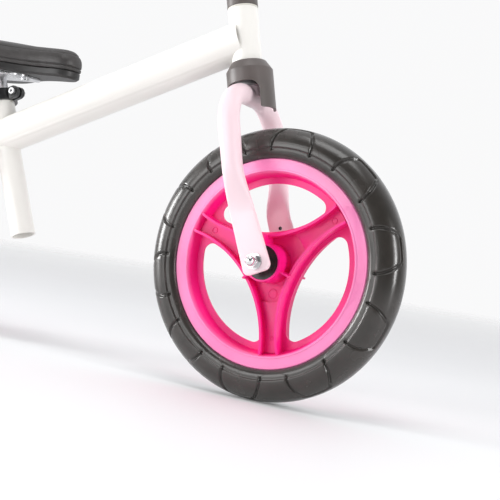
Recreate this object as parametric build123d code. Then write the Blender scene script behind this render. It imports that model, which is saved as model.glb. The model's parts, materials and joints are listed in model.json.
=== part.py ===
from build123d import *
import os
from math import cos, radians, sin, sqrt

# Twelve-inch balance bike in millimetres: +X forward, +Y to the rider's left, +Z up.
# The origin lies on the ground, halfway between the axles.

# Overall layout
wheel_radius = 150.0
wheelbase = 580.0
steering_lean = 15.2
axis_behind_axle = 12.0
main_tube_slope = 23.3
seat_tube_lean = 23.4
running_gap = 0.05
loose_gap = 0.3
cut_overrun = 1.0
merge_depth = 0.5
rounding_margin = 0.05

# Wheels
tyre_half_width = 22.5
tyre_seat_radius = 114.5
tyre_bead_gap = 0.15
tyre_foot_proud = 2.2
tyre_bulge_height = 5.0
tyre_bulge_inset = 2.2
tyre_shoulder_drop = 24.0
tyre_cheek_drop = 13.5
tyre_cheek_inset = 2.0
tyre_crown_drop = 5.0
tyre_crown_inset = 8.5
rim_half_width = 16.4
rim_lip_half_width = 17.0
rim_face_inner_radius = 103.0
rim_inner_radius = 100.0
rim_wall_foot_radius = 95.5
rim_channel_half_width = 11.0
rim_channel_radius = 105.5
rim_edge_round = 1.0
rim_lip_inner_width = 0.9
rim_lip_outer_width = 0.8
hub_draft = 1.2
web_half_thickness = 1.2
spoke_count = 3
front_spoke_angle = 40.2
rear_spoke_angle = 10.0
opening_outer_radius = 88.5
opening_inner_radius = 35.2
opening_curve_radius = 120.0
opening_corner_radius = 10.0
rib_setback = 4.2
rib_thickness = 2.8
spoke_floor_half_thickness = 6.5
spoke_floor_start_radius = 42.0
hub_floor_half_thickness = 3.0
hub_half_width = 30.1
hub_wall = 1.9
hub_rib_thickness = 2.0
hub_rib_half_height = 24.0

# Axles and what sits on them
axle_radius = 4.0
bearing_radius = 18.65
bearing_length = 13.6
bearing_recess = 0.5
bearing_chamfer = 0.6
hub_spacer_radius = 7.0
side_spacer_radius = 7.5
washer_radius = 9.0
washer_thickness = 1.6
nut_across_flats = 13.0
nut_height = 7.0
nut_dome_radius = 5.6
nut_total_height = 13.5
nut_cap_thickness = 2.5
axle_end_gap = 0.5

# Front fork, in the steering frame: heights are measured along the steering axis
fork_tube_radius = 10.9
fork_tube_wall = 2.0
fork_leg_offset = 58.3
fork_bend_radius = 43.0
fork_crown_height = 189.0
fork_round_end_height = 92.0
fork_crease_height = 64.0
blade_offset = 46.5
blade_thickness = 5.0
blade_width = 33.0
blade_below_axle = 12.5
blade_corner_radius = 7.0
drain_hole_radius = 2.2
drain_hole_below_crease = 18.0

# Rear fork, in its own frame along the line from the axle to its crown
rear_crown_distance = 171.0
rear_round_end_height = 84.0
rear_crease_height = 56.0

# Steering column
head_tube_radius = 17.0
head_tube_wall = 2.0
head_tube_bottom = 212.0
head_tube_top = 292.0
main_tube_height_on_axis = 257.0
bush_flange = 2.0
bush_depth = 14.0
steerer_radius = 12.7
steerer_wall = 1.5
steerer_top = 338.0
crown_race_radius = 19.0
lock_ring_radius = 17.5
lock_ring_height = 12.0
lock_ring_chamfer = 1.0

# Steering stop sleeve
sleeve_radius = 26.4
sleeve_wall = 3.0
sleeve_bottom = 173.0
sleeve_shoulder = 219.0
sleeve_top = 229.0
sleeve_neck_radius = 20.0
sleeve_forward = 2.0
arch_half_width = 21.0
arch_top = 203.5
arch_corner_radius = 11.0

# Handlebar, also along the steering axis
post_wall = 1.5
post_bottom = 226.0
bar_height = 412.0
bar_radius = 11.1
bar_centre_length = 60.0
bar_rise = 28.0
bar_sweep_back = 34.0
bar_end_lift = 7.0
bar_rise_end = 78.0
bar_rise_sweep = 8.5
bar_half_width = 196.0
bar_bend_radius = 45.0
grip_length = 96.0
grip_radius = 14.5
grip_wall_end = 4.0
grip_flange_radius = 22.0
grip_flange_thickness = 5.0
grip_bulb_radius = 20.0
grip_bulb_inset = 2.0
grip_bulb_flat = 10.0

# Clamp collars
collar_wall = 4.0
collar_height = 15.0
collar_slit = 3.0
collar_lug_reach = 13.0
collar_lug_width = 6.0
collar_lug_flat = 1.0
collar_below_tube_end = 1.0
seat_tube_slit_depth = 18.0
steerer_slit_depth = 22.0
clamp_bolt_radius = 2.5
clamp_head_radius = 4.2
clamp_head_length = 4.0
clamp_socket_radius = 2.0
clamp_socket_floor = 1.5
clamp_bolt_end = 1.5
clamp_nut_across_flats = 8.0
clamp_nut_height = 4.0

# Frame tubes
main_tube_radius = 22.4
main_tube_wall = 1.75
main_tube_end_wall = 3.0
main_tube_rear_overlap = 7.0
lower_seat_tube_radius = 15.0
lower_seat_tube_wall = 2.0
seat_tube_end_x = -57.4
seat_tube_end_z = 135.6
upper_seat_tube_radius = 17.5
upper_seat_tube_wall = 2.0
seat_tube_length = 190.0
lower_seat_tube_above_main = 8.0
seat_post_bush_gap = 3.0

# Seat post and saddle
seat_post_radius = 12.7
seat_post_wall = 1.6
seat_post_bottom = 42.0
seat_post_top = 226.0
saddle_forward = 14.0
saddle_plate_length = 92.0
saddle_plate_width = 46.0
saddle_plate_thickness = 3.0
saddle_plate_corner = 12.0
saddle_length = 232.0
saddle_rear_width = 138.0
saddle_nose_width = 46.0
saddle_widest_from_rear = 66.0
saddle_tail_fullness = 0.7
saddle_tail_round = 22.0
saddle_waist_rear = 62.0
saddle_waist_front = 70.0
saddle_tip_round = 9.0
saddle_tip_fullness = 0.55
saddle_base_thickness = 9.0
saddle_base_inset = 3.0
saddle_base_bevel = 2.5
saddle_pad_thickness = 30.0
saddle_pad_shoulder = 12.0
saddle_pad_shoulder_width = 9.6
saddle_seam_gap = 0.3
saddle_screw_radius = 3.0
saddle_screw_head_radius = 5.5
saddle_screw_head_height = 2.6
saddle_screw_spacing = 68.0
saddle_screw_bite = 6.0
level_cut_size = 400.0

# Placement frames
front_axle = Vector(wheelbase / 2, 0, wheel_radius)
rear_axle = Vector(-wheelbase / 2, 0, wheel_radius)
lean = radians(steering_lean)
slope = radians(main_tube_slope)
tilt = radians(seat_tube_lean)
up_steering = Vector(-sin(lean), 0, cos(lean))
ahead_steering = Vector(cos(lean), 0, sin(lean))
steering_foot = front_axle - ahead_steering * axis_behind_axle
steering = Plane(origin=steering_foot, x_dir=ahead_steering, z_dir=up_steering)

up_seat = Vector(-sin(tilt), 0, cos(tilt))
seat_tube_end = Vector(seat_tube_end_x, 0, seat_tube_end_z)
seat = Plane(origin=seat_tube_end, x_dir=(cos(tilt), 0, sin(tilt)), z_dir=up_seat)

along_main = Vector(cos(slope), 0, sin(slope))
main_head = steering_foot + up_steering * main_tube_height_on_axis


def rear_crown_point():
    """Where the main tube's centre line is one rear fork length from the rear axle."""
    back = main_head - rear_axle
    along = back.dot(along_main)
    offset = sqrt(back.dot(back) - along * along)
    reach = sqrt(rear_crown_distance ** 2 - offset ** 2)
    return main_head - along_main * (along - reach)


rear_crown = rear_crown_point()
up_rear = (rear_crown - rear_axle).normalized()
rear_stay = Plane(origin=rear_axle, x_dir=(up_rear.Z, 0, -up_rear.X), z_dir=up_rear)


def height_of_main_on_seat():
    """Height along the seat tube at which it crosses the main tube's centre line."""
    offset = main_head - seat_tube_end
    across = Vector(-along_main.Z, 0, along_main.X)
    return offset.dot(across) / up_seat.dot(across)


main_on_seat = height_of_main_on_seat()
head_bore_radius = head_tube_radius - head_tube_wall
steerer_bore_radius = steerer_radius - steerer_wall
post_radius = steerer_bore_radius - running_gap
upper_seat_bore = upper_seat_tube_radius - upper_seat_tube_wall
lower_seat_tube_top = main_on_seat + main_tube_radius + lower_seat_tube_above_main
collar_clearance = running_gap
hub_radius = bearing_radius + running_gap + hub_wall
bearing_outer_face = hub_half_width - bearing_recess
bearing_inner_face = bearing_outer_face - bearing_length
blade_inner_face = blade_offset - blade_thickness / 2
blade_outer_face = blade_offset + blade_thickness / 2
nut_face = blade_outer_face + washer_thickness
sides = (-1, 1)
seat_collar_top = seat_tube_length - collar_below_tube_end
bar_collar_top = steerer_top - collar_below_tube_end


def ring(outer, inner, low, high):
    """Plain ring about the local Z axis, between two heights."""
    face = Circle(outer) - Circle(inner)
    return extrude(Plane.XY.offset(low) * face, amount=high - low)


def rod(radius, low, high):
    """Plain round bar about the local Z axis."""
    return extrude(Plane.XY.offset(low) * Circle(radius), amount=high - low)


def across(axle):
    """Frame whose local Z runs along an axle, towards the rider's left."""
    return Plane(origin=axle, x_dir=(1, 0, 0), z_dir=(0, 1, 0))


# ---------------------------------------------------------------- wheels


def tyre(axle):
    """Solid foam tyre with a smooth sidewall band, a shoulder and a round crown."""
    inner = tyre_seat_radius + tyre_bead_gap
    key = rim_channel_radius + tyre_bead_gap
    key_half = rim_channel_half_width - tyre_bead_gap
    foot = rim_half_width + tyre_foot_proud
    bulge = (inner + tyre_bulge_height, tyre_half_width - tyre_bulge_inset)
    shoulder = (wheel_radius - tyre_shoulder_drop, tyre_half_width)
    cheek = (wheel_radius - tyre_cheek_drop, tyre_half_width - tyre_cheek_inset)
    crown = (wheel_radius - tyre_crown_drop, tyre_half_width - tyre_crown_inset)
    half = []
    half.append(Line((key, 0), (key, key_half)))
    half.append(Line((key, key_half), (inner, key_half)))
    half.append(Line((inner, key_half), (inner, foot)))
    half.append(Spline((inner, foot), bulge, shoulder))
    tread = Spline(shoulder, cheek, crown, (wheel_radius, 0), tangents=((1, 0), (0, -1)))
    half.append(tread)
    half.append(Line((wheel_radius, 0), (key, 0)))
    section = make_face(half)
    half_ring = revolve(section, axis=Axis.Y)
    whole = half_ring + mirror(half_ring, about=Plane.XZ)
    return Pos(axle) * whole


def rim_ring():
    """Turned part of the rim: tyre channel, side lips, tapered walls, thin web and hub."""
    bore = bearing_radius + running_gap
    points = [
        (bore, 0),
        (bore, hub_half_width),
        (hub_radius, hub_half_width),
        (hub_radius + hub_draft, web_half_thickness),
        (rim_wall_foot_radius, web_half_thickness),
        (rim_inner_radius, rim_lip_half_width - rim_edge_round),
        (rim_inner_radius + rim_lip_inner_width, rim_lip_half_width),
        (rim_face_inner_radius - rim_lip_outer_width, rim_lip_half_width),
        (rim_face_inner_radius, rim_half_width),
        (tyre_seat_radius - rim_edge_round, rim_half_width),
        (tyre_seat_radius, rim_half_width - rim_edge_round),
        (tyre_seat_radius, rim_channel_half_width),
        (rim_channel_radius, rim_channel_half_width),
        (rim_channel_radius, 0),
    ]
    section = make_face(Polyline(*points, close=True))
    half_ring = revolve(section, axis=Axis.Y)
    return half_ring + mirror(half_ring, about=Plane.XZ)


def opening_outline(centre_angle):
    """Rounded triangle between two spokes, drawn in the wheel's plane."""
    curve_centre = opening_inner_radius + opening_curve_radius
    shape = Circle(opening_outer_radius) & (Pos(curve_centre, 0) * Circle(opening_curve_radius))
    shape = fillet(shape.vertices(), opening_corner_radius)
    return Rot(0, 0, centre_angle) * shape


def spoke_curve(centre_angle, setback):
    """Disc that the border rib of one opening follows, drawn in the wheel's plane."""
    curve_centre = opening_inner_radius + opening_curve_radius
    disc = Pos(curve_centre, 0) * Circle(opening_curve_radius + setback)
    return Rot(0, 0, centre_angle) * disc


def both_ways(sketch, half_height):
    return extrude(sketch, amount=half_height, both=True)


def rim(axle, spoke_angle):
    """Moulded three-spoke wheel: each spoke is a web with two standing ribs and a raised floor."""
    turned = Rot(-90, 0, 0) * rim_ring()
    pitch = 360 / spoke_count
    middles = [spoke_angle + pitch * (i + 0.5) for i in range(spoke_count)]
    wall_ring = Circle(rim_inner_radius - rim_edge_round)
    ribs = Sketch()
    floors = Circle(rim_wall_foot_radius + 2 * merge_depth) - Circle(spoke_floor_start_radius)
    hub_floor = Circle(spoke_floor_start_radius + merge_depth) - Circle(hub_radius)
    hub_ribs = Sketch()
    for middle in middles:
        outer = spoke_curve(middle, rib_setback + rib_thickness)
        inner = spoke_curve(middle, rib_setback)
        ribs += (outer - inner) & wall_ring
        floors -= outer
        hub_floor -= outer
        reach = opening_inner_radius - rib_setback - hub_radius
        length = reach + 2 * merge_depth
        bar = Pos(hub_radius + reach / 2 - merge_depth, 0) * Rectangle(length, hub_rib_thickness)
        hub_ribs += Rot(0, 0, middle) * bar
    ribs -= Circle(hub_radius)
    hub_ribs -= Circle(hub_radius - hub_wall / 2)
    body = turned + both_ways(ribs, rim_lip_half_width)
    body += both_ways(floors, spoke_floor_half_thickness)
    body += both_ways(hub_floor, hub_floor_half_thickness)
    body += both_ways(hub_ribs, hub_rib_half_height)
    for middle in middles:
        body -= both_ways(opening_outline(middle), hub_half_width)
    return Pos(axle) * (Rot(90, 0, 0) * body)


def hub_bearings(axle):
    """Two black plain bearings, pressed into the hub from both sides."""
    one = ring(bearing_radius, axle_radius + running_gap, bearing_inner_face, bearing_outer_face)
    one = chamfer(one.edges().filter_by(GeomType.CIRCLE).sort_by(Axis.Z)[-1], bearing_chamfer)
    pair = [across(axle) * one, across(axle) * (Rot(180, 0, 0) * one)]
    return pair


def hub_spacer(axle):
    """Tube between the two bearings, round the axle."""
    half = bearing_inner_face - running_gap
    return across(axle) * ring(hub_spacer_radius, axle_radius + running_gap, -half, half)


# ---------------------------------------------------------------- axles


def axle_rod(axle):
    half = nut_face + nut_total_height - nut_cap_thickness - axle_end_gap
    return across(axle) * rod(axle_radius, -half, half)


def side_spacers(axle):
    """Tubes between the bearings and the fork blades."""
    low = bearing_outer_face + loose_gap
    one = ring(side_spacer_radius, axle_radius + running_gap, low, blade_inner_face)
    return [across(axle) * (Rot(turn, 0, 0) * one) for turn in (0, 180)]


def axle_washers(axle):
    one = ring(washer_radius, axle_radius + running_gap, blade_outer_face, nut_face)
    return [across(axle) * (Rot(turn, 0, 0) * one) for turn in (0, 180)]


def axle_nuts(axle):
    """Domed hexagon nuts that cover the ends of the axle."""
    hexagon = RegularPolygon(nut_across_flats / 2, 6, major_radius=False)
    body = extrude(Plane.XY.offset(nut_face) * hexagon, amount=nut_height)
    dome_foot = nut_face + nut_total_height - nut_dome_radius
    dome = rod(nut_dome_radius, nut_face + nut_height, dome_foot)
    dome += Pos(0, 0, dome_foot) * Sphere(nut_dome_radius)
    solid = body + dome
    bore_end = nut_face + nut_total_height - nut_cap_thickness
    solid -= rod(axle_radius + running_gap, nut_face - cut_overrun, bore_end)
    return [across(axle) * (Rot(turn, 0, 0) * solid) for turn in (0, 180)]


# ---------------------------------------------------------------- forks


def fork_path(crown_height, round_end):
    """Centre line of the inverted U, in the fork's own frame."""
    corners = [
        (0, -fork_leg_offset, round_end),
        (0, -fork_leg_offset, crown_height),
        (0, fork_leg_offset, crown_height),
        (0, fork_leg_offset, round_end),
    ]
    return FilletPolyline(*corners, radius=fork_bend_radius)


def fork_tube_solid(crown_height, round_end, radius):
    path = fork_path(crown_height, round_end)
    start = Plane(origin=path @ 0, z_dir=path % 0)
    return sweep(start * Circle(radius), path=path)


def blade(side, crease, round_end, axle_ahead):
    """One flattened fork end: the squash from round to flat, then the plate with the axle hole."""
    fall = Vector(axle_ahead, 0, -crease)
    length = fall.length
    down = fall.normalized()
    forward = Vector(-down.Z, 0, down.X)
    start = Vector(0, side * blade_offset, crease)
    round_size = 2 * fork_tube_radius
    top = Plane(origin=(0, side * fork_leg_offset, round_end), x_dir=(1, 0, 0), z_dir=(0, 0, 1))
    bottom = Plane(origin=start, x_dir=forward, z_dir=down * -1)
    round_section = top * RectangleRounded(round_size, round_size, fork_tube_radius - rounding_margin)
    edge_radius = blade_thickness / 2 - rounding_margin
    flat_section = bottom * RectangleRounded(blade_width, blade_thickness, edge_radius)
    squash = loft([flat_section, round_section])
    plate_length = length + blade_below_axle
    outline = Rectangle(plate_length, blade_width, align=(Align.MIN, Align.CENTER))
    outline = fillet(outline.vertices().sort_by(Axis.X)[-2:], blade_corner_radius)
    outline -= Pos(length, 0) * Circle(axle_radius + running_gap)
    side_plane = Plane(origin=start, x_dir=down, z_dir=(0, 1, 0))
    plate = side_plane * extrude(outline, amount=blade_thickness / 2, both=True)
    drain = side_plane * (Pos(drain_hole_below_crease, 0) * Cylinder(drain_hole_radius, blade_thickness))
    drain = Pos(0, -side * blade_thickness / 2, 0) * drain
    return squash + plate - drain


def fork_solid(crown_height, round_end, crease, axle_ahead):
    """Inverted U of round tube with both ends flattened."""
    outer = fork_tube_solid(crown_height, round_end, fork_tube_radius)
    inner = fork_tube_solid(crown_height, round_end, fork_tube_radius - fork_tube_wall)
    body = outer - inner
    for side in sides:
        body += blade(side, crease, round_end, axle_ahead)
    return body


def fork_tube():
    local = fork_solid(fork_crown_height, fork_round_end_height, fork_crease_height, axis_behind_axle)
    return steering * local


def rear_fork():
    local = fork_solid(rear_crown_distance, rear_round_end_height, rear_crease_height, 0.0)
    return rear_stay * local


# ---------------------------------------------------------------- frame


def main_tube_outer():
    start = rear_crown + along_main * main_tube_rear_overlap
    length = (main_head - start).length
    return Plane(origin=start, z_dir=along_main), length


def main_tube():
    """Large main tube, closed at the rear, coped at the head tube, pierced by the seat tube."""
    frame, length = main_tube_outer()
    solid = frame * rod(main_tube_radius, 0, length)
    bore = frame * rod(main_tube_radius - main_tube_wall, main_tube_end_wall, length + main_tube_radius)
    solid -= bore
    solid -= steering * rod(head_tube_radius, head_tube_bottom, head_tube_top)
    solid -= seat * rod(lower_seat_tube_radius, 0, seat_tube_length)
    solid -= rear_stay * fork_tube_solid(rear_crown_distance, rear_round_end_height, fork_tube_radius)
    return solid


def head_tube():
    return steering * ring(head_tube_radius, head_bore_radius, head_tube_bottom, head_tube_top)


def lower_seat_tube():
    """Passes through the main tube and ends open below it."""
    bore = lower_seat_tube_radius - lower_seat_tube_wall
    return seat * ring(lower_seat_tube_radius, bore, 0, lower_seat_tube_top)


def upper_seat_tube():
    """Stands on the main tube round the top of the lower tube and carries the clamp."""
    tube = seat * ring(upper_seat_tube_radius, upper_seat_bore, main_on_seat, seat_tube_length)
    frame, length = main_tube_outer()
    tube -= frame * rod(main_tube_radius, 0, length)
    slit = Box(4 * upper_seat_tube_wall, collar_slit, 2 * seat_tube_slit_depth)
    top_slit = Pos(upper_seat_tube_radius, 0, seat_tube_length) * slit
    return tube - seat * top_slit


def seat_post_bush():
    """Nylon liner that takes up the difference between the seat post and the upper tube."""
    low = lower_seat_tube_top + seat_post_bush_gap
    outer = upper_seat_bore - running_gap
    inner = seat_post_radius + running_gap
    return seat * ring(outer, inner, low, seat_tube_length - running_gap)


def bush(flange_low, flange_high, depth_low, depth_high):
    flange = ring(head_tube_radius, steerer_radius + running_gap, flange_low, flange_high)
    barrel = ring(head_bore_radius - running_gap, steerer_radius + running_gap, depth_low, depth_high)
    return steering * (flange + barrel)


def lower_bush():
    low = head_tube_bottom - bush_flange
    return bush(low, head_tube_bottom, low, head_tube_bottom + bush_depth)


def upper_bush():
    high = head_tube_top + bush_flange
    return bush(head_tube_top, high, head_tube_top - bush_depth, high)


def steering_stop_sleeve():
    """Sleeve under the head tube; the edges of its two arches stop the fork legs."""
    shift = Pos(sleeve_forward, 0, 0)
    shell = rod(sleeve_radius, sleeve_bottom, sleeve_shoulder)
    base = Plane.XY.offset(sleeve_shoulder) * Circle(sleeve_radius)
    neck = Plane.XY.offset(sleeve_top) * Circle(sleeve_neck_radius)
    shell += loft([base, neck])
    shell = shift * shell
    inside = rod(sleeve_radius - sleeve_wall, sleeve_bottom - cut_overrun, head_tube_bottom + bush_flange)
    shell -= shift * inside
    shell -= rod(head_tube_radius + running_gap, head_tube_bottom, sleeve_top + cut_overrun)
    height = 2 * (arch_top - sleeve_bottom)
    arch = Plane.XZ * (Pos(0, sleeve_bottom) * Rectangle(2 * arch_half_width, height))
    arch = extrude(arch, amount=2 * sleeve_radius, both=True)
    arch = fillet(arch.edges().filter_by(Axis.Y), arch_corner_radius)
    return steering * (shell - arch)


# ---------------------------------------------------------------- steering column


def steerer_tube():
    """Tube welded on the fork crown; the handlebar post slides inside it."""
    tube = ring(steerer_radius, steerer_bore_radius, fork_crown_height, steerer_top)
    tube -= fork_tube_solid(fork_crown_height, fork_round_end_height, fork_tube_radius)
    slit = Box(4 * steerer_wall, collar_slit, 2 * steerer_slit_depth)
    slit = Pos(-steerer_radius, 0, steerer_top) * slit
    return steering * (tube - slit)


def crown_race():
    low = fork_crown_height + fork_tube_radius + loose_gap
    high = head_tube_bottom - bush_flange - loose_gap
    return steering * ring(crown_race_radius, steerer_radius + running_gap, low, high)


def lock_ring():
    """Ring fixed to the steerer above the head tube, which keeps the fork in."""
    low = head_tube_top + bush_flange + loose_gap
    body = ring(lock_ring_radius, steerer_radius + running_gap, low, low + lock_ring_height)
    body = chamfer(body.edges().filter_by(GeomType.CIRCLE).sort_by(Axis.Z)[-1], lock_ring_chamfer)
    return steering * body


def clamp_collar(tube_radius, top):
    """Split collar with two lugs; its slit faces local +X."""
    inner = tube_radius + collar_clearance
    outer = inner + collar_wall
    low = top - collar_height
    lug_high = outer + collar_lug_reach
    lug_across = collar_slit + 2 * collar_lug_width
    lugs = Pos(lug_high / 2, 0, low + collar_height / 2) * Box(lug_high, lug_across, collar_height)
    body = rod(outer, low, top) + lugs
    outer_corners = body.edges().filter_by(Axis.Y).sort_by(Axis.X)[-2:]
    body = fillet(outer_corners, collar_height / 2 - collar_lug_flat / 2)
    body -= rod(inner, low - cut_overrun, top + cut_overrun)
    slit = Box(2 * lug_high, collar_slit, collar_height + 2 * cut_overrun)
    body -= Pos(lug_high, 0, low + collar_height / 2) * slit
    bolt_at = outer + collar_lug_reach / 2
    hole = Cylinder(clamp_bolt_radius + running_gap, 2 * lug_across)
    body -= Pos(bolt_at, 0, low + collar_height / 2) * (Rot(90, 0, 0) * hole)
    return body


def clamp_bolt(tube_radius, top):
    """Socket-head bolt through the lugs of a collar."""
    outer = tube_radius + collar_clearance + collar_wall
    face = collar_slit / 2 + collar_lug_width
    shank = rod(clamp_bolt_radius, -face - clamp_nut_height - clamp_bolt_end, face)
    head = rod(clamp_head_radius, face, face + clamp_head_length)
    hexagon = Plane.XY.offset(face + clamp_socket_floor) * RegularPolygon(clamp_socket_radius, 6)
    socket = extrude(hexagon, amount=clamp_head_length)
    centre = Pos(outer + collar_lug_reach / 2, 0, top - collar_height / 2)
    return centre * (Rot(90, 0, 0) * (shank + head - socket))


def clamp_nut(tube_radius, top):
    outer = tube_radius + collar_clearance + collar_wall
    face = collar_slit / 2 + collar_lug_width
    hexagon = RegularPolygon(clamp_nut_across_flats / 2, 6, major_radius=False)
    hexagon -= Circle(clamp_bolt_radius + running_gap)
    body = extrude(Plane.XY.offset(-face - clamp_nut_height) * hexagon, amount=clamp_nut_height)
    centre = Pos(outer + collar_lug_reach / 2, 0, top - collar_height / 2)
    return centre * (Rot(90, 0, 0) * body)


def to_the_rear(local):
    """Turn a steering-column piece so that its slit faces the rider."""
    return steering * (Rot(0, 0, 180) * local)


# ---------------------------------------------------------------- handlebar


def bar_path():
    """Centre line of the bar from its right end to its left end, in the steering frame."""
    half = [(0, 0, 0), (0, bar_centre_length / 2, 0)]
    half.append((-bar_rise_sweep, bar_rise_end, bar_rise))
    half.append((-bar_sweep_back, bar_half_width, bar_rise + bar_end_lift))
    left = [(x, y, z + bar_height) for x, y, z in half[1:]]
    right = [(x, -y, z) for x, y, z in reversed(left)]
    return FilletPolyline(*(right + left), radius=bar_bend_radius)


def bar_end_frame(side):
    """Frame at one end of the bar, with local Z pointing outwards."""
    path = bar_path()
    at = 1.0 if side > 0 else 0.0
    outward = (path % at) * side
    return Plane(origin=path @ at, x_dir=(1, 0, 0), z_dir=outward)


def handlebar():
    path = bar_path()
    start = Plane(origin=path @ 0, z_dir=path % 0)
    section = Circle(bar_radius) - Circle(bar_radius - post_wall)
    return steering * sweep(start * section, path=path)


def handlebar_post():
    """Post welded under the bar; it slides in the steerer."""
    tube = ring(post_radius, post_radius - post_wall, post_bottom, bar_height)
    path = bar_path()
    start = Plane(origin=path @ 0, z_dir=path % 0)
    tube -= sweep(start * Circle(bar_radius), path=path)
    return steering * tube


def grip(side):
    """Soft grip with an inner flange and a ball-shaped safety end."""
    bore = bar_radius + running_gap
    low = -grip_length
    body = rod(grip_radius, low, grip_wall_end)
    body += rod(grip_flange_radius, low, low + grip_flange_thickness)
    ball = Sphere(grip_bulb_radius)
    bulb = Pos(0, 0, -grip_bulb_inset) * ball
    body += bulb & rod(grip_bulb_radius, -grip_bulb_radius, grip_bulb_flat)
    body -= rod(bore, low - cut_overrun, running_gap)
    return steering * (bar_end_frame(side) * body)


# ---------------------------------------------------------------- saddle


def seat_post():
    tube = ring(seat_post_radius, seat_post_radius - seat_post_wall, seat_post_bottom, seat_post_top)
    level = level_cut(saddle_underside())
    return seat * tube - level


def saddle_underside():
    """Height of the saddle plate's lower face above the ground."""
    top = seat_tube_end + up_seat * (seat_post_top - seat_post_radius)
    return top.Z


def level_cut(height):
    side = level_cut_size
    return Pos(seat_tube_end_x, 0, height + side / 2) * Box(side, side, side)


def saddle_centre_x():
    top = seat_tube_end + up_seat * (seat_post_top - seat_post_radius)
    return top.X + saddle_forward


def saddle_plate():
    """Pressed steel plate welded on the seat post; the saddle is screwed to it."""
    plate = Box(saddle_plate_length, saddle_plate_width, saddle_plate_thickness,
                align=(Align.CENTER, Align.CENTER, Align.MIN))
    plate = fillet(plate.edges().filter_by(Axis.Z), saddle_plate_corner)
    for x in (-saddle_screw_spacing / 2, saddle_screw_spacing / 2):
        plate -= Pos(x, 0, 0) * Cylinder(saddle_screw_radius + running_gap, 4 * saddle_plate_thickness)
    return Pos(saddle_centre_x(), 0, saddle_underside()) * plate


def saddle_outline(inset):
    """Outline of the saddle seen from above, nose forward."""
    rear = -saddle_length / 2 + inset
    nose = saddle_length / 2 - inset
    wide = saddle_rear_width / 2 - inset
    slim = saddle_nose_width / 2 - inset
    widest_x = -saddle_length / 2 + saddle_widest_from_rear
    nose_side_x = nose - saddle_nose_width / 2
    tail_side = (rear, wide * saddle_tail_fullness)
    tail = Bezier((rear, 0), tail_side, (rear + saddle_tail_round, wide), (widest_x, wide))
    waist_rear = (widest_x + saddle_waist_rear, wide)
    waist_front = (widest_x + saddle_waist_front, slim)
    waist = Bezier((widest_x, wide), waist_rear, waist_front, (nose_side_x, slim))
    tip_side = (nose - saddle_tip_round, slim)
    tip = Bezier((nose_side_x, slim), tip_side, (nose, slim * saddle_tip_fullness), (nose, 0))
    half = [tail, waist, tip]
    return make_face(half + [edge.mirror(Plane.XZ) for edge in half])


def saddle_base():
    """Moulded tray under the cushion."""
    low = saddle_underside() + saddle_plate_thickness
    rim_outline = Plane.XY.offset(saddle_base_bevel) * saddle_outline(saddle_base_inset)
    bottom = saddle_outline(saddle_base_inset + saddle_base_bevel)
    tray = extrude(rim_outline, amount=saddle_base_thickness - saddle_base_bevel)
    tray += loft([bottom, rim_outline])
    hole_depth = saddle_screw_bite + cut_overrun
    for x in (-saddle_screw_spacing / 2, saddle_screw_spacing / 2):
        tray -= Pos(x, 0, 0) * Cylinder(saddle_screw_radius + running_gap, 2 * hole_depth)
    return Pos(saddle_centre_x(), 0, low) * tray


def saddle_pad():
    """Plain cushion solid on the tray."""
    low = saddle_underside() + saddle_plate_thickness + saddle_base_thickness + saddle_seam_gap
    side_height = saddle_pad_thickness - saddle_pad_shoulder
    pad = extrude(saddle_outline(0.0), amount=side_height)
    wide = Plane.XY.offset(side_height) * saddle_outline(0.0)
    narrow = Plane.XY.offset(saddle_pad_thickness) * saddle_outline(saddle_pad_shoulder_width)
    pad += loft([wide, narrow])
    return Pos(saddle_centre_x(), 0, low) * pad


def saddle_screws():
    """Pan-head screws from below the plate into the tray."""
    low = saddle_underside() - saddle_screw_head_height
    shank_top = saddle_screw_head_height + saddle_plate_thickness + saddle_screw_bite
    screw = rod(saddle_screw_head_radius, 0, saddle_screw_head_height)
    screw += rod(saddle_screw_radius, 0, shank_top)
    places = (-saddle_screw_spacing / 2, saddle_screw_spacing / 2)
    return [Pos(saddle_centre_x() + x, 0, low) * screw for x in places]


# ---------------------------------------------------------------- all parts


def wheel_parts(name, axle, spoke_angle):
    return {
        name + "_tyre": tyre(axle),
        name + "_rim": rim(axle, spoke_angle),
        name + "_hub_bearings": hub_bearings(axle),
        name + "_hub_spacer": hub_spacer(axle),
        name + "_axle": axle_rod(axle),
        name + "_axle_spacers": side_spacers(axle),
        name + "_axle_washers": axle_washers(axle),
        name + "_axle_nuts": axle_nuts(axle),
    }


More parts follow.
